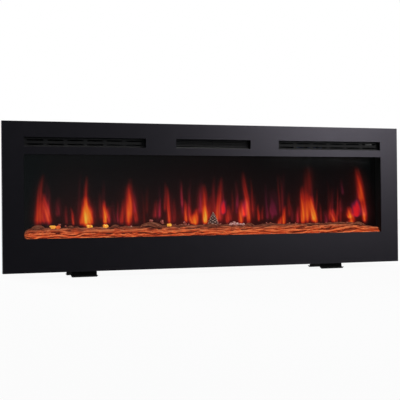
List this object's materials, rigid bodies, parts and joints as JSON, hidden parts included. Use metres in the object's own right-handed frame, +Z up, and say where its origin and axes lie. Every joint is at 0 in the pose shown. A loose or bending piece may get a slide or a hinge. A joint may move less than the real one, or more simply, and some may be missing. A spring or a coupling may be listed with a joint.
{
  "type": "electric fireplace",
  "caption": "Wide linear electric fireplace in a slim black case on sheet-metal feet, with a glass window over a glowing log bed, a flame rotor and a fan heater behind slotted vents.",
  "frame": {"origin": "on the floor, under the middle of the object's bounding box", "axes": "+X to the right along the width, +Y backwards towards the wall, +Z up"},
  "size_m": [1.524, 0.14, 0.54],
  "materials": {
    "black_powder_coat": "satin",
    "grille_paint": "matt",
    "case_paint": "matt",
    "firebox_paint": "matt",
    "zinc_sheet": "zinc plated",
    "clear_glass": "polished",
    "sealing_strip": "matt",
    "smoked_screen": "satin, translucent",
    "mirror_sheet": "polished",
    "led_board": "solder mask",
    "driftwood_resin": "painted",
    "ember_resin": "clear",
    "crystal_resin": "clear",
    "steel_rod": "ground",
    "nylon": "moulded",
    "dark_rubber": "matt",
    "motor_steel": "plain",
    "wheel_plastic": "black anodised",
    "bearing_polymer": "moulded",
    "heater_ceramic": "matt",
    "circuit_board": "solder mask",
    "component_plastic": "moulded",
    "black_plastic": "moulded",
    "button_red": "moulded",
    "button_grey": "moulded"
  },
  "bodies": {
    "fireplace": {"frame_rails": "black_powder_coat", "frame_stiles": "black_powder_coat", "glass_gasket": "sealing_strip", "window_glass": "clear_glass", "glass_clips": "zinc_sheet", "clip_nuts": "zinc_sheet", "frame_brackets": "zinc_sheet", "left_grille": "grille_paint", "middle_grille": "grille_paint", "right_grille": "grille_paint", "vent_fascia": "grille_paint", "case_back": "case_paint", "case_top": "case_paint", "case_bottom": "case_paint", "case_left_side": "case_paint", "case_right_side": "case_paint", "case_screws": "zinc_sheet", "heat_shelf": "zinc_sheet", "firebox_walls": "firebox_paint", "bed_tray": "zinc_sheet", "flame_screen": "smoked_screen", "screen_clips": "zinc_sheet", "flame_mask": "mirror_sheet", "ember_led_channel": "zinc_sheet", "ember_led_board": "led_board", "flame_led_ledge": "zinc_sheet", "flame_led_board": "led_board", "log_bed_left": "driftwood_resin", "log_bed_middle": "driftwood_resin", "log_bed_right": "driftwood_resin", "ember_lumps": "ember_resin", "cone_and_crystals": "crystal_resin", "rotor_motor": "motor_steel", "rotor_brackets": "zinc_sheet", "rotor_bushings": "nylon", "blower_housing": "zinc_sheet", "blower_motor": "motor_steel", "blower_bearing": "bearing_polymer", "heating_element": "heater_ceramic", "thermal_cutout": "zinc_sheet", "control_board": "circuit_board", "board_components": "component_plastic", "board_standoffs": "zinc_sheet", "receiver_eye": "black_plastic", "rocker_housing": "black_plastic", "button_plate": "black_plastic", "button_board": "circuit_board", "cord_gland": "black_plastic", "left_foot": "black_powder_coat", "right_foot": "black_powder_coat", "foot_pads": "sealing_strip"},
    "flame_rotor": {"rotor_shafts": "steel_rod", "rotor_fins": "mirror_sheet", "rotor_coupling": "dark_rubber"},
    "fan_wheel": {"blower_wheel": "wheel_plastic", "blower_shafts": "steel_rod"},
    "rocker": {"rocker_paddle": "black_plastic"},
    "power_push": {"power_button": "button_red"},
    "flame_push": {"flame_button": "button_grey"},
    "heat_push": {"heat_button": "button_grey"}
  },
  "joints": [
    {"name": "flame_rotor_spin", "type": "hinge", "parent": "fireplace", "child": "flame_rotor", "pos_m": [0, 0.0298, 0.178], "axis": [1, 0, 0], "continuous": true},
    {"name": "fan_wheel_spin", "type": "hinge", "parent": "fireplace", "child": "fan_wheel", "pos_m": [0, 0.01, 0.4752], "axis": [1, 0, 0], "continuous": true},
    {"name": "rocker_tilt", "type": "hinge", "parent": "fireplace", "child": "rocker", "pos_m": [0.7225, 0.006, 0.4], "axis": [0, 1, 0], "range_deg": [0, 16]},
    {"name": "power_button_press", "type": "slide", "parent": "fireplace", "child": "power_push", "axis": [-1, 0, 0], "range_m": [0, 0.0008], "stiffness_N_per_m": 400},
    {"name": "flame_button_press", "type": "slide", "parent": "fireplace", "child": "flame_push", "axis": [-1, 0, 0], "range_m": [0, 0.0008], "stiffness_N_per_m": 400},
    {"name": "heat_button_press", "type": "slide", "parent": "fireplace", "child": "heat_push", "axis": [-1, 0, 0], "range_m": [0, 0.0008], "stiffness_N_per_m": 400}
  ]
}
